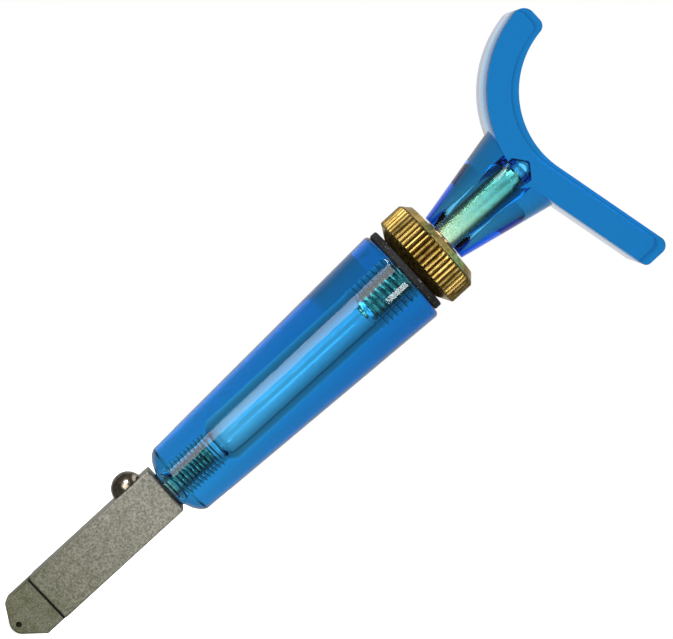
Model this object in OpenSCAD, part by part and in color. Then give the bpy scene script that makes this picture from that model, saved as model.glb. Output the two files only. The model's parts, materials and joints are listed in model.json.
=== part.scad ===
// Oil-fed glass cutter with a swivelling finger saddle.
// +Z runs up the tool from the cutting point; the saddle's two arms spread along X.

/* [Cutting wheel] */
// Diameter of the cutting wheel
wheel_d = 3.3; // [3:0.1:3.5]
// Thickness of the cutting wheel
wheel_t = 1.0; // [0.8:0.1:1.2]
// Diameter of the wheel's axle
axle_d = 1.0; // [0.8:0.1:1.2]
// Included angle of the cutting edge, in degrees
edge_angle = 134; // [120:1:150]

/* [Cutter head] */
// Width of the head, side to side
head_w = 9.3; // [8.8:0.1:9.8]
// Thickness of the head, front to back
head_t = 6.3; // [6:0.1:7]
// Thickness of the nose that holds the wheel
nose_t = 4.6; // [4:0.1:5.2]
// Height of the nose's shoulder on the screw's side
left_shoulder_z = 2.55; // [2.55:0.05:4]
// Height of the nose's other shoulder
right_shoulder_z = 4.25; // [3:0.05:5]
// Height of the step where the nose meets the head
step_z = 8.5; // [8:0.1:9.5]
// Height of the top of the head
head_top_z = 36.2; // [35.6:0.1:36.2]
// Rounding radius of the nose's tip
nose_r = 2.35; // [2.2:0.05:2.35]
// How far the stem's axis stands off the wheel, so that the wheel trails
trail = 0.5; // [0.3:0.1:0.6]
// Height of the side screw
screw_z = 31.35; // [30:0.05:31.6]
// Diameter of the side screw's domed head
screw_head_d = 6; // [5.4:0.1:6]

/* [Barrel] */
// Height of the barrel's lower end
barrel_z = 36.75; // [36.75:0.05:37.2]
// Height of the barrel's upper end
barrel_top_z = 91.65; // [90:0.05:93]
// Diameter of the barrel at its lower shoulder
barrel_low_d = 14; // [13:0.1:15]
// Diameter of the barrel at its upper end
barrel_top_d = 18.5; // [17.8:0.1:18.8]
// Diameter of the oil reservoir
bore_d = 5.9; // [5.7:0.1:6]

/* [Filler cap] */
// Outer diameter over the knurl
ring_d = 18.5; // [18.2:0.1:19]
// Height of the brass ring
ring_h = 7.3; // [6.8:0.1:7.6]
// Number of straight knurl ridges
ridges = 56; // [40:2:60]
// Pitch of the cap's thread
cap_pitch = 1.1; // [1:0.05:1.1]
// Turns that the cap's thread is engaged for
cap_turns = 7.5; // [6:0.5:7.5]

/* [Finger saddle] */
// Depth of the saddle, front to back
saddle_t = 15.4; // [13:0.1:16]
// Radius of the finger rest
rest_r = 15.6; // [15:0.1:16]
// Thickness of the saddle's two arms
arm_t = 5.5; // [5:0.1:6]
// Height of the centre of the finger rest's curve
rest_z = 138.55; // [138:0.05:140]
// Reach of the long arm from the axis
arm_reach = 26.45; // [24:0.05:29]
// Upward slope of the long arm, in degrees
arm_slope = 13.5; // [11:0.1:16]

/* [Hidden] */
$fn = 96;
eps = 0.02;
cut = 0.5;                    // how far a cutting shape runs past a face

run_gap = 0.05;               // radial clearance of a turning fit
seat_gap = 0.02;              // gap between faces that seat on each other

wheel_z = wheel_d / 2;
nose_z = 0.2;                 // the wheel stands this far out of the nose
slot_w = wheel_t + 0.2;
slot_r = wheel_d / 2 + 0.3;
edge_h = wheel_t / 2 / tan(edge_angle / 2);

socket_d = 4.0;
socket_z = 25;
passage_d = 1.8;
screw_d = 2.5;
screw_dome_h = 2.75;
screw_tip_x = trail - 1.25;
head_play = 4;                // degrees of swivel each way

stem_d = 5.0;                 // major diameter of the stem's thread
stem_top_z = 46.25;
stem_journal_d = socket_d - 2 * run_gap;
stem_bore_d = 1.5;
tap_depth_z = 47.75;             // top of the barrel's lower threaded hole
wick_d = 1.3;

washer_h = 1.48;
washer_shift = -0.3;          // it sits a little off centre
washer_z = barrel_top_z + seat_gap;
o_ring_z = washer_z + washer_h + 0.02;
cap_o_ring_d = 1.1;           // section
cap_o_ring_r = 5.1;           // to the middle of the section
ring_z = barrel_top_z + 1.65;
ring_top_z = ring_z + ring_h;
ring_chamfer = 1.5;

plug_d = 6.64;                // major diameter of the plug's thread
plug_neck_d = 7.5;
cap_hole_d = plug_d + 0.16;
cap_hole_z = 81.05;
plug_z = barrel_top_z - cap_pitch * cap_turns;
bush_flange_h = 0.4;
bush_d = 4.4;
journal_d = 3.0;
seal_d = 0.9;                 // section of the seal on the rod
seal_seat_d = 4.9;

rod_d = 5.1;
rod_z = ring_top_z + bush_flange_h + 0.05;
rod_top_z = 117.75;
hole_d = rod_d + 0.1;
hole_tip_z = 120.7;

cone_z = rod_z + 0.05;
cone_low_r = 4.67;
cone_slope = 0.215;
cone_end_z = 120.25;

rest_x = -0.2;
hook_z = rest_z - 0.9;
hook_out_r = 2.2;             // rounding of the hook's and the arm's corners
hook_in_r = 1.5;
arm_low_r = 1.1;
arm_high_r = 1.6;
outer_r = rest_r + arm_t;

// points of an arc about c from angle a to angle b
function arc(c, r, a, b, n = 12) =
    [for (i = [0:n]) c + r * [cos(a + (b - a) * i / n), sin(a + (b - a) * i / n)]];

// angle of the line from p to q
function heading(p, q) = atan2(q[1] - p[1], q[0] - p[0]);

module ring_of(outer_d, inner_d, h) {
    difference() {
        cylinder(d = outer_d, h = h);
        translate([0, 0, -cut]) cylinder(d = inner_d, h = h + 2 * cut);
    }
}

module o_ring(mid_r, section_d) {
    rotate_extrude() translate([mid_r, 0]) circle(d = section_d, $fn = 32);
}

module cutting_wheel() {
    color("dimgray")
    translate([0, 0, wheel_z]) rotate([90, 0, 0])
    rotate_extrude() polygon([
        [axle_d / 2 + 0.03, -wheel_t / 2],
        [wheel_d / 2 - edge_h, -wheel_t / 2],
        [wheel_d / 2, 0],
        [wheel_d / 2 - edge_h, wheel_t / 2],
        [axle_d / 2 + 0.03, wheel_t / 2]
    ]);
}

module wheel_axle() {
    color("gray")
    translate([0, 0, wheel_z]) rotate([90, 0, 0])
    cylinder(d = axle_d, h = nose_t - 0.5, center = true);
}

// angle at which the tip's arc meets the straight side that ends at a shoulder
function touch(z) =
    let (side = [head_w / 2, z - nose_z - nose_r])
    atan2(side[1], side[0]) - acos(nose_r / norm(side));

module nose_outline() {
    x = head_w / 2;
    polygon(concat(
        [[x, step_z + eps], [x, right_shoulder_z]],
        arc([0, nose_z + nose_r], nose_r, touch(right_shoulder_z), -180 - touch(left_shoulder_z), 24),
        [[-x, left_shoulder_z], [-x, step_z + eps]]
    ));
}

module head_section(w, t, chamfer) {
    x = w / 2;
    y = t / 2;
    polygon([
        [x, y - chamfer], [x - chamfer, y], [chamfer - x, y], [-x, y - chamfer],
        [-x, chamfer - y], [chamfer - x, -y], [x - chamfer, -y], [x, chamfer - y]
    ]);
}

module cutter_head() {
    color("darkgray")
    difference() {
        union() {
            translate([0, 0, step_z])
            linear_extrude(head_top_z - step_z) head_section(head_w, head_t, 0.35);
            rotate([90, 0, 0])
            linear_extrude(nose_t, center = true) nose_outline();
        }
        // wheel slot
        translate([0, 0, wheel_z]) rotate([90, 0, 0])
        cylinder(r = slot_r, h = slot_w, center = true);
        translate([-head_w / 2, -slot_w / 2, -cut])
        cube([head_w, slot_w, wheel_z + cut]);
        // axle hole
        translate([0, 0, wheel_z]) rotate([90, 0, 0])
        cylinder(d = axle_d + 0.04, h = nose_t + 2 * cut, center = true);
        // oil passage and the stem's socket
        translate([0, 0, wheel_z]) cylinder(d = passage_d / 2, h = step_z - wheel_z);
        translate([trail, 0, step_z - 2]) cylinder(d = passage_d, h = socket_z);
        translate([trail, 0, socket_z]) cylinder(d = socket_d, h = head_top_z);
        // side screw's hole
        translate([-head_w, 0, screw_z]) rotate([0, 90, 0])
        cylinder(d = screw_d + 0.06, h = head_w);
    }
}

module head_screw() {
    dome_r = (pow(screw_head_d / 2, 2) + pow(screw_dome_h, 2)) / (2 * screw_dome_h);
    color("peru")
    translate([-head_w / 2 - seat_gap, 0, screw_z]) rotate([0, -90, 0])
    difference() {
        union() {
            intersection() {
                translate([0, 0, screw_dome_h - dome_r]) sphere(r = dome_r);
                cylinder(d = screw_head_d, h = screw_dome_h + cut);
            }
            translate([0, 0, screw_tip_x + seat_gap - head_w / 2 - 2 * screw_tip_x])
            cylinder(d = screw_d, h = head_w / 2 + screw_tip_x + cut);
        }
        // driver slot
        translate([-screw_head_d, -0.35, screw_dome_h - 0.7])
        cube([2 * screw_head_d, 0.7, screw_dome_h]);
    }
}

module head_gasket() {
    color("black")
    translate([trail, 0, barrel_z - 0.52]) ring_of(7, stem_journal_d + 0.2, 0.5);
}

module threaded_stem() {
    journal_z = socket_z + 0.3;
    slot_y = screw_d + 2 * (stem_journal_d / 2 * sin(head_play) + run_gap);
    color("darkolivegreen")
    translate([trail, 0, 0])
    difference() {
        union() {
            translate([0, 0, journal_z])
            cylinder(d = stem_journal_d, h = barrel_z + 0.5 - journal_z);
            translate([0, 0, barrel_z + 0.4])
            cylinder(d = stem_d - 0.04, h = stem_top_z - barrel_z - 0.4);
        }
        translate([0, 0, journal_z - cut])
        cylinder(d = stem_bore_d, h = stem_top_z);
        // the screw's tip sits in this slot and limits the swivel
        translate([screw_tip_x - trail + 0.15 - socket_d, -slot_y / 2, screw_z - screw_d / 2 - 0.06])
        cube([socket_d, slot_y, screw_d + 0.12]);
    }
}

module oil_wick() {
    color("antiquewhite")
    translate([trail, 0, wheel_z + slot_r + 3.2])
    cylinder(d = wick_d, h = stem_top_z - wheel_z - slot_r - 3.4);
}

module barrel() {
    low_r = barrel_low_d / 2;
    top_r = barrel_top_d / 2;
    shoulder = barrel_z + 2.4;
    end_r = 3.9;
    lip = 0.6;
    color("dodgerblue", 0.6)
    translate([trail, 0, 0])
    rotate_extrude() polygon(concat(
        [
            [stem_d / 2, barrel_z], [end_r, barrel_z],
            [end_r + 1.6, barrel_z + 0.75], [low_r - 0.5, shoulder - 0.8],
            [low_r, shoulder]
        ],
        arc([top_r - lip, barrel_top_z - lip], lip, 0, 90, 5),
        [
            [cap_hole_d / 2, barrel_top_z], [cap_hole_d / 2, cap_hole_z],
            [bore_d / 2, cap_hole_z - 0.4], [bore_d / 2, tap_depth_z + 1.2],
            [stem_d / 2, tap_depth_z]
        ]
    ));
}

module cap_washer() {
    color("black")
    translate([trail + washer_shift, 0, washer_z]) ring_of(17, 7.5, washer_h);
}

module cap_o_ring() {
    color("black")
    translate([trail, 0, o_ring_z + cap_o_ring_d / 2]) o_ring(cap_o_ring_r, cap_o_ring_d);
}

module knurled_ring() {
    r = ring_d / 2;
    flank = 0.55;
    seat_r = cap_o_ring_r + cap_o_ring_d / 2 + 0.1;
    seat_z = o_ring_z + cap_o_ring_d + 0.08;
    color("goldenrod")
    translate([trail, 0, 0])
    difference() {
        translate([0, 0, ring_z]) rotate_extrude() polygon([
            [plug_neck_d / 2 + seat_gap, 0], [r - 2.6, 0], [r, ring_chamfer],
            [r, ring_h - ring_chamfer], [r - 1.6, ring_h], [plug_neck_d / 2 + seat_gap, ring_h]
        ]);
        translate([0, 0, ring_z - cut]) cylinder(r = seat_r, h = seat_z - ring_z + cut);
        for (i = [0:ridges - 1])
            rotate(i * 360 / ridges) translate([r, 0, ring_z + ring_h / 2]) rotate(45)
            cube([flank, flank, ring_h + 2 * cut], center = true);
    }
}

module cap_plug() {
    color("lightgray")
    translate([trail, 0, 0])
    difference() {
        union() {
            translate([0, 0, plug_z]) cylinder(d = plug_d, h = ring_z - plug_z);
            translate([0, 0, o_ring_z + 0.1])
            cylinder(d = plug_neck_d, h = ring_top_z - o_ring_z - 0.1);
        }
        translate([0, 0, plug_z - cut]) cylinder(d = journal_d + 0.2, h = 20);
        translate([0, 0, plug_z - cut]) cylinder(d = seal_seat_d, h = seal_d + 0.1 + cut);
        translate([0, 0, ring_top_z - 6]) cylinder(d = bush_d + 0.02, h = 6 + cut);
    }
}

module swivel_bush() {
    color("sandybrown")
    translate([trail, 0, 0])
    difference() {
        union() {
            translate([0, 0, ring_top_z - 5.9]) cylinder(d = bush_d, h = 6);
            translate([0, 0, ring_top_z + seat_gap])
            cylinder(d = 7.2, h = bush_flange_h - seat_gap);
        }
        translate([0, 0, ring_top_z - 7]) cylinder(d = journal_d + 2 * run_gap, h = 9);
    }
}

module rod_o_ring() {
    color("black")
    translate([trail, 0, plug_z + seal_d / 2 + 0.05])
    o_ring(journal_d / 2 + seal_d / 2 + 0.02, seal_d);
}

module rod_washer() {
    color("silver")
    translate([trail, 0, plug_z - 0.45]) ring_of(5.2, journal_d + 0.06, 0.4);
}

module rod_clip() {
    color("silver")
    translate([trail, 0, plug_z - 0.95])
    difference() {
        ring_of(5.0, 2.3, 0.48);
        // the open side that snaps over the rod's groove
        translate([-0.9, 0, -cut]) cube([1.8, 5, 2]);
    }
}

module swivel_rod() {
    color("khaki")
    translate([trail, 0, 0])
    difference() {
        union() {
            translate([0, 0, plug_z - 1.5])
            cylinder(d = journal_d, h = rod_z - plug_z + 1.5 + eps);
            translate([0, 0, rod_z]) cylinder(d = rod_d, h = rod_top_z - rod_z - 0.4);
            translate([0, 0, rod_top_z - 0.4])
            cylinder(d1 = rod_d, d2 = rod_d - 0.8, h = 0.4);
        }
        // groove for the clip
        translate([0, 0, plug_z - 0.97]) ring_of(journal_d + 1, 2.26, 0.52);
    }
}

// centre of a rounded corner at the long arm's end: side is 1 for its lower face, -1 for its upper
function arm_corner(start, r, side) =
    let (x = arm_reach - r, drop = side * r * [-sin(arm_slope), cos(arm_slope)])
    [x, start[1] + drop[1] + (x - start[0] - drop[0]) * tan(arm_slope)];

// side view of the two arms: x across, y up
module saddle_outline() {
    mid = [rest_x, rest_z];
    down = arm_slope - 90;                 // where the straight arm leaves the curve
    inner = mid + rest_r * [cos(down), sin(down)];
    outer = mid + outer_r * [cos(down), sin(down)];
    low = arm_corner(outer, arm_low_r, 1);
    high = arm_corner(inner, arm_high_r, -1);
    out_y = hook_z - hook_out_r;
    in_y = hook_z - hook_in_r;
    hook_out = [rest_x - sqrt(pow(outer_r - hook_out_r, 2) - pow(out_y - rest_z, 2)), out_y];
    hook_in = [rest_x - sqrt(pow(rest_r + hook_in_r, 2) - pow(in_y - rest_z, 2)), in_y];
    out_angle = heading(mid, hook_out) + 360;
    in_angle = heading(mid, hook_in) + 360;
    polygon(concat(
        arc(mid, outer_r, out_angle, 360 + down, 40),
        arc(low, arm_low_r, down, 0, 10),
        arc(high, arm_high_r, 0, 90 + arm_slope, 10),
        arc(mid, rest_r, 360 + down, in_angle, 40),
        arc(hook_in, hook_in_r, in_angle - 180, 90, 10),
        arc(hook_out, hook_out_r, 90, out_angle, 10)
    ));
}

module finger_saddle() {
    color("deepskyblue", 0.6)
    translate([trail, 0, 0])
    difference() {
        union() {
            rotate([90, 0, 0])
            linear_extrude(saddle_t, center = true) saddle_outline();
            // tapered neck, with flats where it is wider than the arms are deep
            intersection() {
                translate([0, 0, cone_z]) cylinder(
                    r1 = cone_low_r,
                    r2 = cone_low_r + cone_slope * (cone_end_z - cone_z),
                    h = cone_end_z - cone_z
                );
                translate([-20, -saddle_t / 2, cone_z - cut]) cube([40, saddle_t, 40]);
            }
        }
        translate([0, 0, cone_z - cut])
        cylinder(d = hole_d, h = rod_top_z + 1.22 - cone_z + cut);
        translate([0, 0, rod_top_z + 1.2])
        cylinder(d1 = hole_d, d2 = 0.6, h = hole_tip_z - rod_top_z - 1.2);
    }
}

cutting_wheel();
wheel_axle();
cutter_head();
head_screw();
head_gasket();
threaded_stem();
oil_wick();
barrel();
cap_washer();
cap_o_ring();
knurled_ring();
cap_plug();
swivel_bush();
rod_o_ring();
rod_washer();
rod_clip();
swivel_rod();
finger_saddle();
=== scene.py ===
import bpy, bmesh, json, math
from mathutils import Matrix, Vector


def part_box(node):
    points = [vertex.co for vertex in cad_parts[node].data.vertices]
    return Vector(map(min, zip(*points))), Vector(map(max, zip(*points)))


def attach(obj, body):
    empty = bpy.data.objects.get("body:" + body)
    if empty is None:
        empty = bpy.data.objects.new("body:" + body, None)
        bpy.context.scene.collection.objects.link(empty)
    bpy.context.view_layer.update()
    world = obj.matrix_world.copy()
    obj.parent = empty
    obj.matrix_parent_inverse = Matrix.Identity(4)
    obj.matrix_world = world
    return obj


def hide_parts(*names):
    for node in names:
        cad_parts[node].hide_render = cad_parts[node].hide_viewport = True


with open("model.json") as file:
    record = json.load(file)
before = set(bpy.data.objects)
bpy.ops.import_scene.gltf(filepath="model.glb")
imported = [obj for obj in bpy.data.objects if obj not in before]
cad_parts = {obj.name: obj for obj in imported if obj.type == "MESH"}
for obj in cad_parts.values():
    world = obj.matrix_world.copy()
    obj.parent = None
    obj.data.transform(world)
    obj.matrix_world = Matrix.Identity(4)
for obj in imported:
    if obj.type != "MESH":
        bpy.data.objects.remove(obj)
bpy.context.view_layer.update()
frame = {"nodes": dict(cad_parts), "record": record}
mm = 0.001
turn = 2 * math.pi
stemX = sum(p.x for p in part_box("barrel")) / 2   # the barrel's axis stands off the wheel


# helpers that make meshes, all in millimetres

def finishMesh(name, bm, material, smoothAngle=35):
    # turns a bmesh in millimetres into an object in metres
    bmesh.ops.recalc_face_normals(bm, faces=bm.faces)
    mesh = bpy.data.meshes.new(name)
    bm.to_mesh(mesh)
    bm.free()
    mesh.transform(Matrix.Scale(mm, 4))
    piece = bpy.data.objects.new(name, mesh)
    bpy.context.scene.collection.objects.link(piece)
    mesh.polygons.foreach_set("use_smooth", [True] * len(mesh.polygons))
    mesh.set_sharp_from_angle(angle=math.radians(smoothAngle))
    if material:
        mesh.materials.append(material)
    return piece


def lathe(outline, steps, radiusAt=None, closed=True):
    # outline is a list of (radius, height, tag), and radiusAt can change a radius by angle
    bm = bmesh.new()
    rings = []
    for r, z, tag in outline:
        if r < 1e-6:
            rings.append([bm.verts.new((0, 0, z))])
            continue
        ring = []
        for i in range(steps):
            a = turn * i / steps
            rr = radiusAt(r, z, tag, a) if radiusAt else r
            ring.append(bm.verts.new((rr * math.cos(a), rr * math.sin(a), z)))
        rings.append(ring)
    pairs = list(zip(rings, rings[1:]))
    if closed:
        pairs.append((rings[-1], rings[0]))
    for low, high in pairs:
        for i in range(steps):
            j = (i + 1) % steps
            if len(low) == 1 and len(high) == 1:
                continue
            if len(low) == 1:
                bm.faces.new((low[0], high[i], high[j]))
            elif len(high) == 1:
                bm.faces.new((low[i], low[j], high[0]))
            else:
                bm.faces.new((low[i], low[j], high[j], high[i]))
    return bm


def plain(points):
    return [(r, z, 0.0) for r, z in points]


def roundCorner(corner, before, after, radius, steps=4):
    # replaces a corner of an outline by a short arc that touches both sides
    c, b, a = Vector(corner), Vector(before), Vector(after)
    toB, toA = (b - c).normalized(), (a - c).normalized()
    half = toB.angle(toA) / 2
    reach = min(radius / math.tan(half), (b - c).length * 0.49, (a - c).length * 0.49)
    r = reach * math.tan(half)
    middle = c + (toB + toA).normalized() * (r / math.sin(half))
    start, end = c + toB * reach - middle, c + toA * reach - middle
    sweep = start.angle_signed(end)
    points = []
    for i in range(steps + 1):
        a0 = -sweep * i / steps
        points.append(tuple(middle + Matrix.Rotation(a0, 2) @ start))
    return points


def softened(points, radii, steps=4):
    # a closed outline with each corner rounded by its own radius
    out = []
    n = len(points)
    for i, p in enumerate(points):
        r = radii[i] if isinstance(radii, (list, tuple)) else radii
        if r <= 0:
            out.append(tuple(p))
        else:
            out += roundCorner(p, points[i - 1], points[(i + 1) % n], r, steps)
    return out


def threadRows(zLow, zHigh, pitch, radius, fade=0.8, perPitch=10):
    # rows of a thread, from the low end to the high end, with the tag as its depth
    count = max(2, int((zHigh - zLow) / pitch * perPitch))
    rows = []
    for i in range(count + 1):
        z = zLow + (zHigh - zLow) * i / count
        near = min(z - zLow, zHigh - z)
        rows.append((radius, z, min(1.0, near / (fade * pitch))))
    return rows


def threadShape(pitch, depth, flat=0.12):
    # a right-hand thread: the tag scales the depth, the crest stands out by depth, and a
    # share of the pitch is flat at the root and at the crest
    def radiusAt(r, z, tag, a):
        if tag <= 0:
            return r
        phase = (z / pitch - a / turn) % 1.0
        ridge = 1 - abs(2 * phase - 1)
        ridge = min(1.0, max(0.0, (ridge - flat) / (1 - 2 * flat)))
        return r + tag * depth * ridge
    return radiusAt


def boolean(piece, cutter, operation):
    modifier = piece.modifiers.new("cut", "BOOLEAN")
    modifier.operation = operation
    modifier.solver = "EXACT"
    modifier.object = cutter
    bakeModifiers(piece)
    bpy.data.objects.remove(cutter, do_unlink=True)


def bakeModifiers(piece):
    graph = bpy.context.evaluated_depsgraph_get()
    mesh = bpy.data.meshes.new_from_object(piece.evaluated_get(graph))
    piece.modifiers.clear()
    piece.data = mesh


def mergeFlats(piece, angle):
    # joins the pieces of each flat face that a boolean left behind
    bm = bmesh.new()
    bm.from_mesh(piece.data)
    bmesh.ops.remove_doubles(bm, verts=bm.verts, dist=1e-7)
    bmesh.ops.dissolve_limit(bm, angle_limit=math.radians(angle), verts=bm.verts, edges=bm.edges)
    bm.to_mesh(piece.data)
    bm.free()


def smoothTo(piece, angle):
    piece.data.polygons.foreach_set("use_smooth", [True] * len(piece.data.polygons))
    piece.data.set_sharp_from_angle(angle=math.radians(angle))


def roundEdges(piece, width, segments, angle):
    modifier = piece.modifiers.new("edges", "BEVEL")
    modifier.width = width * mm
    modifier.segments = segments
    modifier.limit_method = "ANGLE"
    modifier.angle_limit = math.radians(angle)
    modifier.miter_outer = "MITER_ARC"
    modifier.use_clamp_overlap = True
    bakeModifiers(piece)
    smoothTo(piece, 38)


def flatFronts(piece):
    # the broad flat faces keep their own direction beside a shallow join
    for face in piece.data.polygons:
        if abs(face.normal.y) > 0.9999:
            face.use_smooth = False


def drum(radius, low, high, axis, steps=48, at=(0, 0, 0)):
    # a cutting cylinder between two heights along an axis
    bm = lathe(plain([(0, low), (radius, low), (radius, high), (0, high)]), steps, closed=False)
    turned = {"Z": Matrix.Identity(4), "Y": Matrix.Rotation(-math.pi / 2, 4, "X"),
              "X": Matrix.Rotation(math.pi / 2, 4, "Y")}[axis]
    bmesh.ops.transform(bm, matrix=Matrix.Translation(at) @ turned, verts=bm.verts)
    return finishMesh("cutter", bm, None)


def block(low, high):
    bm = bmesh.new()
    bmesh.ops.create_cube(bm, size=1)
    size = Vector(high) - Vector(low)
    middle = (Vector(high) + Vector(low)) / 2
    grow = Matrix.Translation(middle) @ Matrix.Diagonal((*size, 1))
    bmesh.ops.transform(bm, matrix=grow, verts=bm.verts)
    return finishMesh("cutter", bm, None)


def slab(points, low, high):
    # a flat outline in X and Z, as thick as low to high along Y
    bm = bmesh.new()
    front = [bm.verts.new((x, low, z)) for x, z in points]
    back = [bm.verts.new((x, high, z)) for x, z in points]
    bm.faces.new(front)
    bm.faces.new(back)
    n = len(points)
    for i in range(n):
        bm.faces.new((front[i], front[(i + 1) % n], back[(i + 1) % n], back[i]))
    return bm


def place(piece, body, finish, *nodes, across=stemX):
    piece.data.transform(Matrix.Translation((across, 0, 0)))
    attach(piece, body)
    if nodes:
        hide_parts(*nodes)
    return piece


# materials; every noise runs on the object's own coordinates

def startMaterial(name):
    material = bpy.data.materials.new(name)
    material.use_nodes = True
    nodes = material.node_tree.nodes
    return material, nodes, material.node_tree.links, nodes["Principled BSDF"]


def grain(nodes, links, scale, detail=4.0, rough=0.6, stretch=(1, 1, 1)):
    # noise on the object's own coordinates, in metres, so scale is features per metre
    coords = nodes.new("ShaderNodeTexCoord")
    mapping = nodes.new("ShaderNodeMapping")
    mapping.inputs["Scale"].default_value = stretch
    noise = nodes.new("ShaderNodeTexNoise")
    noise.inputs["Scale"].default_value = scale
    noise.inputs["Detail"].default_value = detail
    noise.inputs["Roughness"].default_value = rough
    links.new(coords.outputs["Object"], mapping.inputs["Vector"])
    links.new(mapping.outputs["Vector"], noise.inputs["Vector"])
    return noise


def ramp(nodes, links, source, stops):
    node = nodes.new("ShaderNodeValToRGB")
    node.color_ramp.elements[0].position = stops[0][0]
    node.color_ramp.elements[0].color = (*stops[0][1], 1)
    node.color_ramp.elements[1].position = stops[-1][0]
    node.color_ramp.elements[1].color = (*stops[-1][1], 1)
    for position, colour in stops[1:-1]:
        node.color_ramp.elements.new(position).color = (*colour, 1)
    links.new(source, node.inputs["Fac"])
    return node


def greys(stops):
    # stops of one level each, as colours for a ramp
    return [(position, (level,) * 3) for position, level in stops]


def spread(nodes, links, source, low, high):
    # noise keeps to the middle of its range, so that part fills low to high
    node = nodes.new("ShaderNodeMapRange")
    node.inputs["From Min"].default_value = 0.3
    node.inputs["From Max"].default_value = 0.7
    node.inputs["To Min"].default_value = low
    node.inputs["To Max"].default_value = high
    links.new(source, node.inputs["Value"])
    return node


def bump(nodes, links, source, shader, strength, distance):
    node = nodes.new("ShaderNodeBump")
    node.inputs["Strength"].default_value = strength
    node.inputs["Distance"].default_value = distance
    links.new(source, node.inputs["Height"])
    links.new(node.outputs["Normal"], shader.inputs["Normal"])
    return node


blueAcrylicLook = {
    "depthColour": (0.0, 0.667, 0.873),   # what is left over after a long way through
    "density": 300.0,                     # per metre
    "bending": 1.49,
    "hazeTints": ((0.90, 0.96, 1.0), (1.0, 1.0, 1.0)),
    "hazeScale": 900,
    "haze": 0.03,                         # the roughest spots
    "scratchScale": 260,
    "scratches": 0.04,
    "scratchDepth": 0.0002,
}


def blueAcrylic():
    look = blueAcrylicLook
    material, nodes, links, shader = startMaterial("blueAcrylic")
    shader.inputs["IOR"].default_value = look["bending"]
    shader.inputs["Transmission Weight"].default_value = 1.0
    haze = grain(nodes, links, look["hazeScale"], 3).outputs["Fac"]
    first, second = look["hazeTints"]
    links.new(ramp(nodes, links, haze, [(0.3, first), (0.7, second)]).outputs["Color"],
              shader.inputs["Base Color"])
    links.new(spread(nodes, links, haze, 0.0, look["haze"]).outputs["Result"],
              shader.inputs["Roughness"])
    scratch = grain(nodes, links, look["scratchScale"], 5, 0.7, (1, 1, 0.35))
    bump(nodes, links, scratch.outputs["Fac"], shader, look["scratches"], look["scratchDepth"])
    inside = nodes.new("ShaderNodeVolumeAbsorption")
    inside.inputs["Color"].default_value = (*look["depthColour"], 1)
    inside.inputs["Density"].default_value = look["density"]
    links.new(inside.outputs["Volume"], nodes["Material Output"].inputs["Volume"])
    return material


def metal(name, dark, mid, light, rough, grainScale=1500, bumpDepth=0.00002, stretch=(1, 1, 1)):
    # worn metal: colour, gloss and surface all follow the same fine grain
    material, nodes, links, shader = startMaterial(name)
    shader.inputs["Metallic"].default_value = 1.0
    fine = grain(nodes, links, grainScale, 6, 0.65, stretch)
    links.new(ramp(nodes, links, fine.outputs["Fac"],
                   [(0.28, dark), (0.5, mid), (0.72, light)]).outputs["Color"],
              shader.inputs["Base Color"])
    links.new(spread(nodes, links, fine.outputs["Fac"], rough[0], rough[1]).outputs["Result"],
              shader.inputs["Roughness"])
    bump(nodes, links, fine.outputs["Fac"], shader, 0.5, bumpDepth)
    return material


def coordinates(nodes, links):
    coords = nodes.new("ShaderNodeTexCoord")
    split = nodes.new("ShaderNodeSeparateXYZ")
    links.new(coords.outputs["Object"], split.inputs["Vector"])
    return split


def ranged(nodes, links, source, low, high):
    # a value between low and high turned into 0 to 1
    node = nodes.new("ShaderNodeMapRange")
    node.inputs["From Min"].default_value = low
    node.inputs["From Max"].default_value = high
    links.new(source, node.inputs["Value"])
    return node.outputs["Result"]


def blend(nodes, links, factor, first, second):
    node = nodes.new("ShaderNodeMix")
    node.data_type = "RGBA"
    links.new(factor, node.inputs["Factor"])
    for socket, colour in (("A", first), ("B", second)):
        if isinstance(colour, tuple):
            node.inputs[socket].default_value = (*colour, 1)
        else:
            links.new(colour, node.inputs[socket])
    return node.outputs["Result"]


headLook = {
    "dark": (0.08, 0.077, 0.055),
    "mid": (0.225, 0.22, 0.18),
    "light": (0.43, 0.42, 0.365),
    "oily": (0.072, 0.076, 0.026),        # the nose and the lower part of the body
    "grainScale": 3000,
    "patchScale": 330,
    "oilRange": (0.003, 0.030),           # heights in metres, oiliest to driest
    "oilStops": [(0.0, 0.85), (0.20, 0.75), (0.24, 0.60), (1.0, 0.05)],
    "stepShadow": (0.010, 0.010, 0.007),       # painted shadow in the corner under the step
    "stepShadowBand": (0.00800, 0.00852),
    "metallic": 0.7,
    "roughness": (0.42, 0.62),
    "pits": 0.00005,
}


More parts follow.
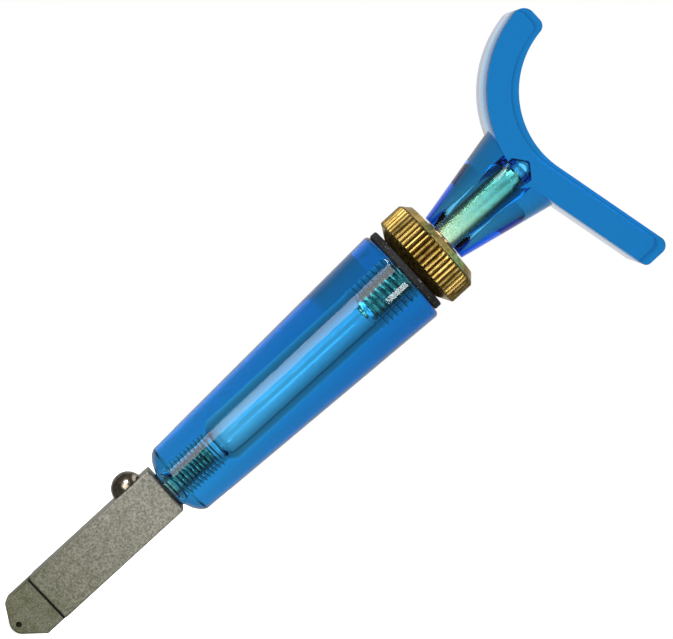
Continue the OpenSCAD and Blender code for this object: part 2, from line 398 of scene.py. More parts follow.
def sinteredMetal():
    # grey pressed-powder metal: pitted, darker towards the oily nose, with a painted shadow under the
    # step
    h = headLook
    material, nodes, links, shader = startMaterial("sinteredMetal")
    shader.inputs["Metallic"].default_value = h["metallic"]
    fine = grain(nodes, links, h["grainScale"], 6, 0.72)
    cloud = grain(nodes, links, h["patchScale"], 4, 0.6)
    z = coordinates(nodes, links).outputs["Z"]
    powder = ramp(nodes, links, fine.outputs["Fac"],
                  [(0.30, h["dark"]), (0.5, h["mid"]), (0.70, h["light"])])
    oil = ramp(nodes, links, ranged(nodes, links, z, *h["oilRange"]), greys(h["oilStops"]))
    patch = ramp(nodes, links, cloud.outputs["Fac"], greys([(0.35, 0.55), (0.65, 1.0)]))
    wet = nodes.new("ShaderNodeMath")
    wet.operation = "MULTIPLY"
    links.new(oil.outputs["Color"], wet.inputs[0])
    links.new(patch.outputs["Color"], wet.inputs[1])
    oiled = ramp(nodes, links, fine.outputs["Fac"],
                 [(0.30, tuple(c * 0.35 for c in h["oily"])), (0.5, h["oily"]),
                  (0.72, tuple(c * 1.8 for c in h["oily"]))])
    colour = blend(nodes, links, wet.outputs[0], powder.outputs["Color"], oiled.outputs["Color"])
    # painted shadow: a dark band on the nose just under the step
    low, high = h["stepShadowBand"]
    span = high - low
    stepShadowMask = ramp(nodes, links, ranged(nodes, links, z, low - span, high + span / 4),
                greys([(0.0, 0.0), (0.40, 0.1), (0.50, 1.0), (0.88, 1.0), (0.92, 0.0)]))
    links.new(blend(nodes, links, stepShadowMask.outputs["Color"], colour, h["stepShadow"]),
              shader.inputs["Base Color"])
    links.new(spread(nodes, links, fine.outputs["Fac"], *h["roughness"]).outputs["Result"],
              shader.inputs["Roughness"])
    bump(nodes, links, fine.outputs["Fac"], shader, 0.7, h["pits"])
    return material


brassLook = {
    "dark": (0.20, 0.13, 0.03),
    "mid": (0.45, 0.30, 0.075),
    "light": (0.68, 0.48, 0.16),
    "grime": (0.035, 0.022, 0.006),       # what fills the grooves of the knurl
    "grimeStops": [(0.0, 0.0), (0.36, 0.0), (0.40, 1.0), (0.62, 0.75), (0.88, 0.0)],
    "radius": 0.00925,
    "groove": 0.00039,
    "grainScale": 1300,
    "roughness": (0.26, 0.42),
    "pits": 0.000012,
}


def tarnishedBrass():
    b = brassLook
    material, nodes, links, shader = startMaterial("tarnishedBrass")
    shader.inputs["Metallic"].default_value = 1.0
    fine = grain(nodes, links, b["grainScale"], 4, 0.6, (1, 1, 0.5))
    brass = ramp(nodes, links, fine.outputs["Fac"],
                 [(0.25, b["dark"]), (0.45, b["mid"]), (0.75, b["light"])])
    spot = coordinates(nodes, links)
    across = nodes.new("ShaderNodeMath")
    across.operation = "SUBTRACT"
    across.inputs[1].default_value = stemX
    links.new(spot.outputs["X"], across.inputs[0])
    flat = nodes.new("ShaderNodeCombineXYZ")
    links.new(across.outputs[0], flat.inputs["X"])
    links.new(spot.outputs["Y"], flat.inputs["Y"])
    out = nodes.new("ShaderNodeVectorMath")
    out.operation = "LENGTH"
    links.new(flat.outputs["Vector"], out.inputs[0])
    depth = ranged(nodes, links, out.outputs["Value"], b["radius"] - 1.6 * b["groove"], b["radius"])
    filled = ramp(nodes, links, depth, greys(b["grimeStops"]))
    links.new(blend(nodes, links, filled.outputs["Color"], brass.outputs["Color"], b["grime"]),
              shader.inputs["Base Color"])
    links.new(spread(nodes, links, fine.outputs["Fac"], *b["roughness"]).outputs["Result"],
              shader.inputs["Roughness"])
    bump(nodes, links, fine.outputs["Fac"], shader, 0.3, b["pits"])
    return material


rubberLook = {
    "stops": [(0.30, (0.004, 0.004, 0.004)), (0.60, (0.012, 0.012, 0.012)),
              (0.66, (0.016, 0.016, 0.015)), (0.70, (0.30, 0.30, 0.28))],   # the last is dust
    "dustScale": 2600,
    "roughness": (0.55, 0.75),
}


def blackRubber():
    look = rubberLook
    material, nodes, links, shader = startMaterial("blackRubber")
    dust = grain(nodes, links, look["dustScale"], 3, 0.7)
    links.new(ramp(nodes, links, dust.outputs["Fac"], look["stops"]).outputs["Color"],
              shader.inputs["Base Color"])
    links.new(spread(nodes, links, dust.outputs["Fac"], *look["roughness"]).outputs["Result"],
              shader.inputs["Roughness"])
    shader.inputs["Specular IOR Level"].default_value = 0.2
    bump(nodes, links, dust.outputs["Fac"], shader, 0.3, 0.00004)
    return material


wickLook = {
    "stops": [(0.3, (0.5, 0.45, 0.33)), (0.7, (0.85, 0.81, 0.7))],
    "fibreScale": 2500,
}


def wickCotton():
    look = wickLook
    material, nodes, links, shader = startMaterial("wickCotton")
    fibre = grain(nodes, links, look["fibreScale"], 6, 0.7, (1, 1, 0.2))
    links.new(ramp(nodes, links, fibre.outputs["Fac"], look["stops"]).outputs["Color"],
              shader.inputs["Base Color"])
    shader.inputs["Roughness"].default_value = 0.95
    bump(nodes, links, fibre.outputs["Fac"], shader, 0.8, 0.0001)
    return material


finishes = {
    "blue_acrylic": blueAcrylic(),
    "cast_head": sinteredMetal(),
    "rubber": blackRubber(),
    "wick": wickCotton(),
    "brass": tarnishedBrass(),
    "screw_brass": metal("screwBronze", (0.10, 0.08, 0.06), (0.27, 0.23, 0.18), (0.44, 0.38, 0.30),
                         (0.14, 0.26), 900, 0.00001),
    "bronze": metal("bushBronze", (0.30, 0.18, 0.08), (0.50, 0.33, 0.16), (0.66, 0.48, 0.26),
                    (0.28, 0.42), 900),
    "steel": metal("turnedSteel", (0.45, 0.46, 0.45), (0.66, 0.67, 0.66), (0.85, 0.86, 0.85),
                   (0.16, 0.32), 1200, 0.00001, (1, 1, 6)),
    "carbide": metal("groundCarbide", (0.18, 0.19, 0.20), (0.30, 0.31, 0.33), (0.45, 0.46, 0.48),
                     (0.25, 0.40), 3000, 0.00001),
    "stem_steel": metal("oiledSteel", (0.08, 0.09, 0.04), (0.22, 0.22, 0.12), (0.45, 0.44, 0.30),
                        (0.26, 0.42), 1000),
    "zinc_rod": metal("yellowZinc", (0.86, 0.44, 0.18), (0.96, 0.55, 0.25), (0.98, 0.66, 0.38),
                      (0.13, 0.24), 1800, 0.000003, (1, 1, 0.6)),
}
plugZinc = metal("dullZinc", (0.26, 0.18, 0.08), (0.48, 0.34, 0.16), (0.70, 0.52, 0.30),
                 (0.22, 0.36), 1400, 0.000006)
# near-black pin: painted shade for the axle hole
paintedShadePin = metal("paintedShadePin", (0.008, 0.008, 0.006), (0.02, 0.02, 0.015), (0.05, 0.048, 0.04),
                 (0.45, 0.65), 2500)
# dark teal for the painted shade lines in the barrel's thread roots
paintedThreadShade = metal("paintedThreadShade", (0.02, 0.14, 0.17), (0.04, 0.24, 0.28), (0.10, 0.36, 0.38), (0.3, 0.5), 1200)
print("materials:", len(finishes))

slotOf = {s["node"]: s["material_slot"] for s in frame["record"]["subparts"]}
for nodeName, cadObject in frame["nodes"].items():
    cadObject.data.materials.clear()
    cadObject.data.materials.append(finishes[slotOf[nodeName]])
frame["nodes"]["wheel_axle"].data.materials[0] = paintedShadePin   # its ends are painted near-black, a painted shade so the axle hole reads dark


# the barrel, its stem and what shows in its threads

barrelSizes = {
    "lowShoulder": 7.0,                # radius
    "topRadius": 9.25,
    "endRadius": 3.9,
    "shoulderUp": 2.4,                 # from the lower end
    "endChamfer": (1.6, 0.75),         # across and up
    "shoulderChamfer": (0.45, 0.75),
    "shoulderRound": 0.5,
    "lip": 0.8,
    "mouthStep": 0.4,                  # around the upper thread, and how far the thread stays in
    "mouthChamfer": 0.35,
    "boreRadius": 2.95,
    "boreSlope": 1.2,                  # height of the slope down to the lower thread
    "lowStep": 0.4,
    # ripple is how deep the barrel's own thread is, depth is the one that screws into it
    "lowThread": {"pitch": 0.8, "wall": 2.12, "ripple": 0.16, "depth": 0.22, "length": 11.5},
    "topThread": {"pitch": 1.1, "wall": 2.98, "ripple": 0.16, "depth": 0.22, "length": 10.2},
    "threadGap": 0.06,                 # between the two threads' crests and roots
}


def makeBarrel():
    b = barrelSizes
    low, high = (p.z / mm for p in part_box("barrel"))
    lowThread, topThread = b["lowThread"], b["topThread"]
    shoulder = low + b["shoulderUp"]
    endAcross, endUp = b["endChamfer"]
    shoulderAcross, shoulderDown = b["shoulderChamfer"]
    # outside, from the lower end up
    outline = [(b["endRadius"], low), (b["endRadius"] + endAcross, low + endUp),
               (b["lowShoulder"] - shoulderAcross, shoulder - shoulderDown)]
    outline += roundCorner((b["lowShoulder"], shoulder), outline[-1], (b["topRadius"], high),
                           b["shoulderRound"])
    for i in range(1, 12):
        f = i / 12
        outline.append((b["lowShoulder"] + (b["topRadius"] - b["lowShoulder"]) * f,
                        shoulder + (high - shoulder) * f))
    mouth = topThread["wall"] + b["mouthStep"]
    chamfer = b["mouthChamfer"]
    outline += roundCorner((b["topRadius"], high), outline[-1], (mouth, high), b["lip"], 6)
    outline += [(mouth + chamfer, high), (mouth, high - chamfer)]
    rows = plain(outline)
    # inside, from the upper end down
    rows += list(reversed(threadRows(high - topThread["length"], high - b["mouthStep"],
                                     topThread["pitch"], topThread["wall"])))
    bottom = low + lowThread["length"]
    slopeTop = bottom + b["boreSlope"]
    wall = [(b["boreRadius"], high - topThread["length"] - 0.3)]
    for i in range(1, 8):
        f = i / 8
        wall.append((b["boreRadius"], wall[0][1] + (slopeTop - wall[0][1]) * f))
    wall += [(b["boreRadius"], slopeTop), (lowThread["wall"] + 0.2, bottom)]
    rows += plain(wall)
    rows += list(reversed(threadRows(low + 0.5, bottom - 0.2, lowThread["pitch"],
                                     lowThread["wall"])))
    rows += plain([(lowThread["wall"] + b["lowStep"], low)])
    shapes = {True: threadShape(topThread["pitch"], topThread["ripple"]),
              False: threadShape(lowThread["pitch"], lowThread["ripple"])}
    middle = (low + high) / 2

    def radiusAt(r, z, tag, a):
        return shapes[z > middle](r, z, tag, a)

    piece = finishMesh("blueBarrel", lathe(rows, 128, radiusAt), finishes["blue_acrylic"], 30)
    return place(piece, "barrel", "blue_acrylic", "barrel")


# painted shade: thin dark lines along the barrel's thread roots
threadShadeLine = {
    "thickness": 0.14,
    "perTurn": 40,
    "lowEnds": (1.0, 0.9),     # how far it stays inside the thread's two ends
    "topEnds": (0.9, 1.2),
}


def makeThreadShade(name, thread, low, high):
    # a dark line of painted shade lies in the root of the barrel's thread, one thin line round and
    # round
    bm = bmesh.new()
    pitch, half = thread["pitch"], threadShadeLine["thickness"] / 2
    r = thread["wall"] + thread["ripple"]
    first = math.ceil(low / pitch) * pitch + pitch / 2
    count = int((high - first) / pitch * threadShadeLine["perTurn"])
    rings = []
    for i in range(count + 1):
        a = turn * i / threadShadeLine["perTurn"]
        z = first + pitch * i / threadShadeLine["perTurn"]
        rings.append([bm.verts.new(((r + dr) * math.cos(a), (r + dr) * math.sin(a), z + dz))
                      for dr, dz in ((half * 0.6, 0), (0, half), (-half * 0.6, 0), (0, -half))])
    for one, two in zip(rings, rings[1:]):
        for k in range(4):
            bm.faces.new((one[k], one[(k + 1) % 4], two[(k + 1) % 4], two[k]))
    bm.faces.new(rings[0])
    bm.faces.new(rings[-1])
    return place(finishMesh(name, bm, paintedThreadShade, 60), "barrel", "blue_acrylic")


def makeBothThreadShades():
    low, high = (p.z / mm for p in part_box("barrel"))
    lowThread, topThread = barrelSizes["lowThread"], barrelSizes["topThread"]
    under, over = threadShadeLine["lowEnds"]
    makeThreadShade("lowThreadShade", lowThread, low + under, low + lowThread["length"] - over)
    under, over = threadShadeLine["topEnds"]
    makeThreadShade("topThreadShade", topThread, high - topThread["length"] + under, high - over)


stemSizes = {
    "passage": 0.75,         # radius of the oil passage
    "journal": 1.95,
    "chamfer": 0.3,
    "threadFrom": 0.5,       # above the barrel's lower end
    "threadTo": 0.4,         # below the stem's upper end
}


def makeStem():
    t = stemSizes
    low, high = (p.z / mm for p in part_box("threaded_stem"))
    thread = barrelSizes["lowThread"]
    root = thread["wall"] - barrelSizes["threadGap"] - thread["depth"]
    journal, chamfer = t["journal"], t["chamfer"]
    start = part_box("barrel")[0].z / mm
    rows = plain([(t["passage"], low), (journal - chamfer, low), (journal, low + chamfer),
                  (journal, start + chamfer)])
    rows += threadRows(start + t["threadFrom"], high - t["threadTo"], thread["pitch"], root)
    rows += plain([(root - 0.1, high), (t["passage"], high)])
    shape = threadShape(thread["pitch"], thread["depth"])
    piece = finishMesh("stemThread", lathe(rows, 96, shape), finishes["stem_steel"], 30)
    return place(piece, "barrel", "stem_steel", "threaded_stem")


# the filler cap and its seals

ringSizes = {
    "ridges": 56,
    "ridgeDepth": 0.39,
    "ridgeSlope": 0.95,      # how steeply a groove's sides rise
    "radius": 9.25,
    "clearance": 0.02,       # around the plug's neck
    "seatRadius": 5.75,      # the recess over the seal ring
    "seatDepth": 1.05,
    "edge": 1.5,             # height of the slopes below and above the ridges
    "lowSlope": 2.6,         # how far in they go
    "highSlope": 1.6,
    "edgeRound": 0.25,
}


def makeRing():
    c = ringSizes
    low, high = (p.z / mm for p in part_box("knurled_ring"))
    r, edge, seat = c["radius"], c["edge"], c["seatRadius"]
    inside = plugSizes["neck"] + c["clearance"]
    recess = low + c["seatDepth"]
    lowRim, highRim = r - c["lowSlope"], r - c["highSlope"]
    outline = [(inside, recess), (seat, recess), (seat, low + 0.1), (seat + 0.1, low), (lowRim, low)]
    outline += roundCorner((lowRim, low), (seat + 0.1, low), (r, low + edge), c["edgeRound"])
    for i in range(1, 8):
        outline.append((lowRim + c["lowSlope"] * i / 8, low + edge * i / 8))
    outline += [(r - 0.06, low + edge - 0.03), (r, low + edge + 0.06)]
    for i in range(1, 10):
        outline.append((r, low + edge + (high - low - 2 * edge) * i / 10))
    outline += [(r, high - edge - 0.06), (r - 0.06, high - edge + 0.05)]
    for i in range(1, 8):
        outline.append((r - c["highSlope"] * i / 8, high - edge + edge * i / 8))
    outline += roundCorner((highRim, high), outline[-1], (inside, high), c["edgeRound"])
    outline += [(inside + 0.2, high), (inside, high - 0.2)]
    pitch = turn / c["ridges"]

    def radiusAt(rr, z, tag, a):
        # each groove is a V cut straight along the ring
        across = ((a / pitch) % 1.0 - 0.5) * pitch * r
        groove = r - max(0.0, c["ridgeDepth"] - abs(across) * c["ridgeSlope"])
        return min(rr, groove) if rr > seat + 0.25 else rr

    bm = lathe(plain(outline), c["ridges"] * 10, radiusAt)
    piece = finishMesh("knurledRing", bm, finishes["brass"], 24)
    return place(piece, "cap", "brass", "knurled_ring")


plugSizes = {
    "neck": 3.75,
    "waist": 3.1,            # between the thread and the neck
    "chamfer": 0.3,
    "bushRadius": 2.21,
    "bushDepth": 6,
    "rodHole": 1.6,
    "clipRoom": (2.45, 1.0),   # radius and height of the hollow at the lower end
}


def makePlug():
    g = plugSizes
    low, high = (p.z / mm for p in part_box("cap_plug"))
    thread = barrelSizes["topThread"]
    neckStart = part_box("cap_o_ring")[0].z / mm + 0.1
    neck, waist, chamfer = g["neck"], g["waist"], g["chamfer"]
    root = thread["wall"] - barrelSizes["threadGap"] - thread["depth"]
    bushEnd = high - g["bushDepth"]
    roomRadius, roomHeight = g["clipRoom"]
    rows = plain([(roomRadius, low), (root - 0.1, low)])
    rows += threadRows(low + 0.2, neckStart - 1.2, thread["pitch"], root)
    rows += plain([(waist, neckStart - 0.9), (waist, neckStart), (neck, neckStart),
                   (neck, high - chamfer), (neck - chamfer, high), (g["bushRadius"], high),
                   (g["bushRadius"], bushEnd), (g["rodHole"], bushEnd),
                   (g["rodHole"], low + roomHeight), (roomRadius, low + roomHeight)])
    shape = threadShape(thread["pitch"], thread["depth"])
    piece = finishMesh("capPlug", lathe(rows, 128, shape), plugZinc, 30)
    return place(piece, "cap", "zinc_rod", "cap_plug")


washerSizes = {
    "outer": 8.5,
    "inner": 3.75,
    "innerRound": 0.1,
    "outerRound": 0.35,
}


def makeWasher():
    w = washerSizes
    low, high = (p.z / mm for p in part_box("cap_washer"))
    outer, inner = w["outer"], w["inner"]
    corners = [(inner, low), (outer, low), (outer, high), (inner, high)]
    radii = [w["innerRound"], w["outerRound"], w["outerRound"], w["innerRound"]]
    piece = finishMesh("capWasher", lathe(plain(softened(corners, radii)), 128), finishes["rubber"])
    middle = sum(p.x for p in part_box("cap_washer")) / 2   # it sits a little off centre
    return place(piece, "cap_seals", "rubber", "cap_washer", across=middle)


sealRing = {"radius": 5.1, "sides": 24}


def makeSealRing():
    low, high = (p.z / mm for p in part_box("cap_o_ring"))
    middle, r = (low + high) / 2, (high - low) / 2
    sides = sealRing["sides"]
    points = [(sealRing["radius"] + r * math.cos(turn * i / sides),
               middle + r * math.sin(turn * i / sides)) for i in range(sides)]
    piece = finishMesh("capSealRing", lathe(plain(points), 96), finishes["rubber"], 60)
    return place(piece, "cap_seals", "rubber", "cap_o_ring")


# the finger saddle and the rod it turns on

saddleSizes = {
    "restX": -0.2,
    "restZ": 138.55,
    "restRadius": 15.6,
    "armThickness": 5.5,
    "reach": 26.45,
    "slope": 13.5,
    "hookOut": 2.2,          # rounding of the corners, seen from the front
    "hookIn": 1.5,
    "armLow": 1.1,
    "armHigh": 1.6,
    "neckRadius": 4.67,
    "neckSlope": 0.215,
    "neckTop": 120.25,
    "edgeRound": 0.4,
    "holeRadius": 2.6,
    "holeOver": 1.2,         # straight part of the hole above the rod
    "holeTip": 2.95,         # where its pointed end stops above the rod
    "holeTipRadius": 0.3,
}


def arcPoints(c, r, a, b, n):
    return [(c[0] + r * math.cos(math.radians(a + (b - a) * i / n)),
             c[1] + r * math.sin(math.radians(a + (b - a) * i / n))) for i in range(n + 1)]


def saddleOutline():
    s = saddleSizes
    mid = (s["restX"], s["restZ"])
    innerR = s["restRadius"]
    outerR = innerR + s["armThickness"]
    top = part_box("finger_saddle")[1].z / mm
    slope = math.radians(s["slope"])
    down = s["slope"] - 90

    def armCorner(radius, r, side):
        # middle of a rounded corner at the long arm's end
        x, z = arcPoints(mid, radius, down, down, 1)[0]
        x -= side * math.sin(slope) * r
        z += side * math.cos(slope) * r
        end = s["reach"] - r
        return end, z + (end - x) * math.tan(slope)

    def hookCorner(distance, r):
        drop = top - r - mid[1]
        x = mid[0] - math.sqrt(distance ** 2 - drop ** 2)
        return (x, top - r), math.degrees(math.atan2(drop, x - mid[0])) + 360

    low = armCorner(outerR, s["armLow"], 1)
    high = armCorner(innerR, s["armHigh"], -1)
    hookOut, outAngle = hookCorner(outerR - s["hookOut"], s["hookOut"])
    hookIn, inAngle = hookCorner(innerR + s["hookIn"], s["hookIn"])
    points = arcPoints(mid, outerR, outAngle, 360 + down, 72)
    points += arcPoints(low, s["armLow"], down, 0, 10)
    points += arcPoints(high, s["armHigh"], 0, 90 + s["slope"], 10)
    points += arcPoints(mid, innerR, 360 + down, inAngle, 64)
    points += arcPoints(hookIn, s["hookIn"], inAngle - 180, 90, 10)[1:]
    points += arcPoints(hookOut, s["hookOut"], 90, outAngle, 10)[1:-1]
    return points


def makeSaddle():
    s = saddleSizes
    low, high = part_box("finger_saddle")
    half = (high.y - low.y) / 2 / mm
    neckZ = low.z / mm
    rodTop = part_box("swivel_rod")[1].z / mm
    piece = finishMesh("fingerSaddle", slab(saddleOutline(), -half, half), finishes["blue_acrylic"])
    topZ = s["neckTop"]
    topR = s["neckRadius"] + s["neckSlope"] * (topZ - neckZ)
    cone = [(0, neckZ), (s["neckRadius"], neckZ), (topR, topZ), (0, topZ)]
    neck = finishMesh("neck", lathe(plain(cone), 128, closed=False), None)
    boolean(neck, block((-20, -half, neckZ - 1), (20, half, topZ + 1)), "INTERSECT")
    boolean(piece, neck, "UNION")
    over, tip = rodTop + s["holeOver"], rodTop + s["holeTip"]
    hole = [(0, neckZ - 1), (s["holeRadius"], neckZ - 1), (s["holeRadius"], over),
            (s["holeTipRadius"], tip), (0, tip)]
    boolean(piece, finishMesh("hole", lathe(plain(hole), 96, closed=False), None), "DIFFERENCE")
    mergeFlats(piece, 0.2)
    roundEdges(piece, s["edgeRound"], 3, 50)
    flatFronts(piece)
    return place(piece, "saddle", "blue_acrylic", "finger_saddle")


rodSizes = {
    "radius": 2.55,
    "journal": 1.5,          # radius of the part that turns in the bush
    "groove": 1.13,          # radius under the snap clip
    "grooveHigh": 0.5,
    "lowChamfer": 0.25,
    "shoulderChamfer": 0.2,
    "topChamfer": 0.45,
}


def makeRod():
    d = rodSizes
    low, high = (p.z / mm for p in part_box("swivel_rod"))
    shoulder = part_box("finger_saddle")[0].z / mm - 0.05
    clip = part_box("rod_clip")[0].z / mm
    r, journal, groove = d["radius"], d["journal"], d["groove"]
    grooveLow, grooveTop = clip - 0.02, clip + d["grooveHigh"]
    outline = [(0, low), (journal - d["lowChamfer"], low), (journal, low + d["lowChamfer"]),
               (journal, grooveLow), (groove, grooveLow), (groove, grooveTop), (journal, grooveTop),
               (journal, shoulder), (r - d["shoulderChamfer"], shoulder),
               (r, shoulder + d["shoulderChamfer"])]
    for i in range(1, 20):
        outline.append((r, shoulder + (high - shoulder - 0.5) * i / 20))
    outline += [(r, high - d["topChamfer"]), (r - d["topChamfer"], high), (0, high)]
    piece = finishMesh("swivelRod", lathe(plain(outline), 96, closed=False), finishes["zinc_rod"])
    return place(piece, "saddle", "zinc_rod", "swivel_rod")


# the cutting head and its screw

headSizes = {
    "width": 9.3,
    "thickness": 6.3,
    "noseThickness": 4.6,
    "noseRadius": 2.35,
    "noseLift": 0.2,
    "leftShoulder": 2.55,
    "rightShoulder": 4.25,
    "leftRound": 1.2,
    "rightRound": 0.5,
    "step": 8.5,
    "edgeRound": 0.3,
    "wheelHeight": 1.65,
    "slotWidth": 1.2,
    "slotRadius": 1.95,
    "axleHole": 0.52,                  # radii from here on
    "oilHole": 0.9,
    "stemHole": 2.0,
    "screwHole": 1.28,
    "oilSpan": (6.5, 30),              # heights
    "stemSpan": (25, 40),
}


def noseOutline():
    h = headSizes
    x, r = h["width"] / 2, h["noseRadius"]
    midZ = h["noseLift"] + r

    def touch(shoulder):
        # where the tip's arc meets the straight side up to a shoulder
        up = shoulder - midZ
        return math.degrees(math.atan2(up, x) - math.acos(r / math.hypot(x, up)))

    top = h["step"] + 0.3
    tip = arcPoints((0, midZ), r, touch(h["rightShoulder"]), -180 - touch(h["leftShoulder"]), 24)
    right = roundCorner((x, h["rightShoulder"]), (x, top), tip[0], h["rightRound"])
    left = roundCorner((-x, h["leftShoulder"]), tip[-1], (-x, top), h["leftRound"])
    return [(x, top)] + right + tip + left + [(-x, top)]


def makeHead():
    h = headSizes
    x, y = h["width"] / 2, h["thickness"] / 2
    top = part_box("cutter_head")[1].z / mm
    body = [(-x, h["step"]), (x, h["step"]), (x, top), (-x, top)]
    piece = finishMesh("cutterHead", slab(body, -y, y), finishes["cast_head"])
    noseY = h["noseThickness"] / 2
    boolean(piece, finishMesh("nose", slab(noseOutline(), -noseY, noseY), None), "UNION")
    mergeFlats(piece, 0.5)
    roundEdges(piece, h["edgeRound"], 3, 30)
    wheel = (0, 0, h["wheelHeight"])
    slot = h["slotWidth"] / 2
    boolean(piece, drum(h["slotRadius"], -slot, slot, "Y", 64, wheel), "DIFFERENCE")
    boolean(piece, block((-6, -slot, -1), (6, slot, h["wheelHeight"])), "DIFFERENCE")
    boolean(piece, drum(h["axleHole"], -4, 4, "Y", 32, wheel), "DIFFERENCE")
    trail = (stemX / mm, 0, 0)
    boolean(piece, drum(h["oilHole"], *h["oilSpan"], "Z", 32, trail), "DIFFERENCE")
    boolean(piece, drum(h["stemHole"], *h["stemSpan"], "Z", 64, trail), "DIFFERENCE")
    screw = (0, 0, screwSizes["height"])
    boolean(piece, drum(h["screwHole"], -8, 0, "X", 32, screw), "DIFFERENCE")
    smoothTo(piece, 38)
    flatFronts(piece)
    return place(piece, "head", "cast_head", "cutter_head", across=0)


screwSizes = {
    "height": 31.35,         # of its middle, above the wheel's contact point
    "radius": 3.0,
    "dome": 2.75,
    "rim": 0.14,
    "shank": 1.25,           # radius
    "shankLength": 3.25,
    "shankChamfer": 0.2,
    "slotHalf": 0.35,
    "slotDepth": 0.7,
    "gap": 0.02,             # off the head's side
}


def makeScrew():
    w = screwSizes
    r, dome, shank, length = w["radius"], w["dome"], w["shank"], w["shankLength"]
    chamfer, half, z = w["shankChamfer"], w["slotHalf"], w["height"]
    ball = (r * r + dome * dome) / (2 * dome)
    edge = math.degrees(math.asin(min(1.0, r / ball)))
    outline = [(0, -length), (shank - chamfer, -length), (shank, chamfer - length), (shank, 0),
               (r - 0.15, 0), (r, 0.12)]
    for i in range(1, 13):
        a = math.radians(edge * (1 - i / 12))
        outline.append((ball * math.sin(a), max(w["rim"], dome - ball + ball * math.cos(a))))
    bm = lathe(plain(outline), 64, closed=False)
    face = -headSizes["width"] / 2 - w["gap"]
    turned = Matrix.Translation((face, 0, z)) @ Matrix.Rotation(-math.pi / 2, 4, "Y")
    bmesh.ops.transform(bm, matrix=turned, verts=bm.verts)
    piece = finishMesh("headScrew", bm, finishes["screw_brass"], 40)
    top = face - dome
    boolean(piece, block((top - 1, -half, z - 4), (top + w["slotDepth"], half, z + 4)), "DIFFERENCE")
    return place(piece, "head", "screw_brass", "head_screw", across=0)


makeBarrel()
makeBothThreadShades()
makeStem()
print("barrel and stem made")
makeRing()
makePlug()
makeWasher()
makeSealRing()
print("filler cap made")
makeSaddle()
makeRod()
print("saddle and rod made")
makeHead()
makeScrew()
print("head made")


# floor, light and camera

studio = {
    "floorSize": 0.9,
    "floorDrop": 0.02,       # in millimetres, under the wheel
    "floorTone": 0.9,
    "floorGlow": 0.70,
    "backdrop": 1.0,
    # what polished surfaces mirror, apart from the softboxes
    "mirrored": [(0.0, 0.12), (0.74, 0.13), (0.87, 0.45), (1.0, 0.75)],
    # what shows through the clear parts, from in front of the tool (0) to behind it (1)
    "around": [(0.0, 1.3), (0.03, 1.5), (0.08, 3.2), (0.20, 2.6), (0.30, 0.8), (0.38, 0.35),
               (0.50, 0.18), (0.56, 0.20), (0.66, 0.42), (0.80, 0.44), (0.94, 0.66), (1.0, 1.0)],
}


def makeFloor():
    bm = bmesh.new()
    half = studio["floorSize"] / 2 / mm
    rows = 12
    points = [[bm.verts.new((-half + 2 * half * i / rows, -half + 2 * half * j / rows,
                             -studio["floorDrop"]))
               for i in range(rows + 1)] for j in range(rows + 1)]
    for j in range(rows):
        for i in range(rows):
            bm.faces.new((points[j][i], points[j][i + 1], points[j + 1][i + 1], points[j + 1][i]))
    material, shader = startMaterial("paleFloor")[::3]
    shader.inputs["Base Color"].default_value = (studio["floorTone"],) * 3 + (1,)
    shader.inputs["Roughness"].default_value = 0.9
    shader.inputs["Emission Color"].default_value = (1, 1, 1, 1)
    shader.inputs["Emission Strength"].default_value = studio["floorGlow"]
    floor = finishMesh("floor", bm, material)
    floor.visible_glossy = False         # the backdrop alone shows in and through the tool
    floor.visible_transmission = False


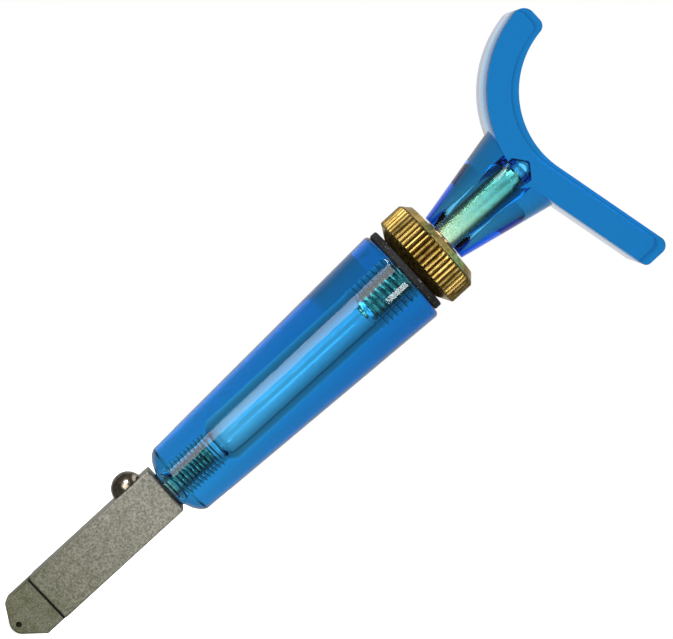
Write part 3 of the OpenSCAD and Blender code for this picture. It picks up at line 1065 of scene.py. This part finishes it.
def makeWorld():
    # a plain white backdrop; what the tool reflects and refracts is dimmer at its sides
    world = bpy.data.worlds.new("studio")
    bpy.context.scene.world = world
    world.use_nodes = True
    nodes, links = world.node_tree.nodes, world.node_tree.links
    background = nodes["Background"]
    coords = nodes.new("ShaderNodeTexCoord")
    split = nodes.new("ShaderNodeSeparateXYZ")
    links.new(coords.outputs["Generated"], split.inputs["Vector"])
    depth = nodes.new("ShaderNodeMapRange")
    depth.inputs["From Min"].default_value = -1
    depth.inputs["From Max"].default_value = 1
    links.new(split.outputs["Y"], depth.inputs["Value"])
    shade, sheen = (ramp(nodes, links, depth.outputs["Result"], greys(studio[part]))
                    for part in ("around", "mirrored"))
    path = nodes.new("ShaderNodeLightPath")
    mix = nodes.new("ShaderNodeMix")
    mix.data_type = "RGBA"
    mix.inputs["B"].default_value = (studio["backdrop"],) * 3 + (1,)
    mirrored = nodes.new("ShaderNodeMath")   # 1 for a reflection, 0 for what shines through
    mirrored.operation = "SUBTRACT"
    links.new(path.outputs["Is Glossy Ray"], mirrored.inputs[0])
    links.new(path.outputs["Is Transmission Ray"], mirrored.inputs[1])
    seen = blend(nodes, links, mirrored.outputs[0], shade.outputs["Color"],
                 sheen.outputs["Color"])
    links.new(path.outputs["Is Camera Ray"], mix.inputs["Factor"])
    links.new(seen, mix.inputs["A"])
    links.new(mix.outputs["Result"], background.inputs["Color"])


# each softbox: where it stands, its size in metres and its power in watts
softboxes = {
    "keyLight": ((0.112, -0.487, 0.100), (0.11, 0.105), 0.38),
    "stripeLight": ((-0.30, -0.445, 0.06), (0.22, 0.32), 0.9),
    "rimLight": ((-0.42, -0.33, 0.26), (0.17, 0.19), 1.6),
    "topLight": ((0.0, 0.10, 0.60), (0.60, 0.60), 1.6),
}


def makeSoftbox(name, position, size, power):
    # an area light that looks at the middle of the tool
    data = bpy.data.lights.new(name, "AREA")
    data.shape = "RECTANGLE"
    data.size, data.size_y = size
    data.energy = power
    light = bpy.data.objects.new(name, data)
    bpy.context.scene.collection.objects.link(light)
    light.location = position
    aim = Vector((0, 0, 0.08)) - light.location
    light.rotation_euler = aim.to_track_quat("-Z", "Y").to_euler()
    light.visible_camera = False


shot = {
    "azimuth": -6.0,
    "elevation": 0.9,
    "roll": 47.55,
    "distance": 0.410,
    "target": (-0.0016, 0.0, 0.07785),
    "width": 0.11675,        # of the view, at the target
    "sensor": 36,
}


def makeCamera():
    a, e = math.radians(shot["azimuth"]), math.radians(shot["elevation"])
    back = Vector((math.sin(a) * math.cos(e), -math.cos(a) * math.cos(e), math.sin(e)))
    data = bpy.data.cameras.new("camera")
    data.sensor_width = shot["sensor"]
    data.lens = shot["sensor"] * shot["distance"] / shot["width"]
    data.clip_start, data.clip_end = 0.01, 50
    camera = bpy.data.objects.new("camera", data)
    bpy.context.scene.collection.objects.link(camera)
    camera.location = Vector(shot["target"]) + back * shot["distance"]
    look = (-back).to_track_quat("-Z", "Y").to_matrix().to_4x4()
    roll = Matrix.Rotation(math.radians(shot["roll"]), 4, "Z")
    camera.rotation_euler = (look @ roll).to_euler()
    bpy.context.scene.camera = camera


makeFloor()
makeWorld()
for boxName, (position, size, power) in softboxes.items():
    makeSoftbox(boxName, position, size, power)
makeCamera()
bpy.context.scene.view_settings.view_transform = "Standard"
print("floor, lights and camera made")
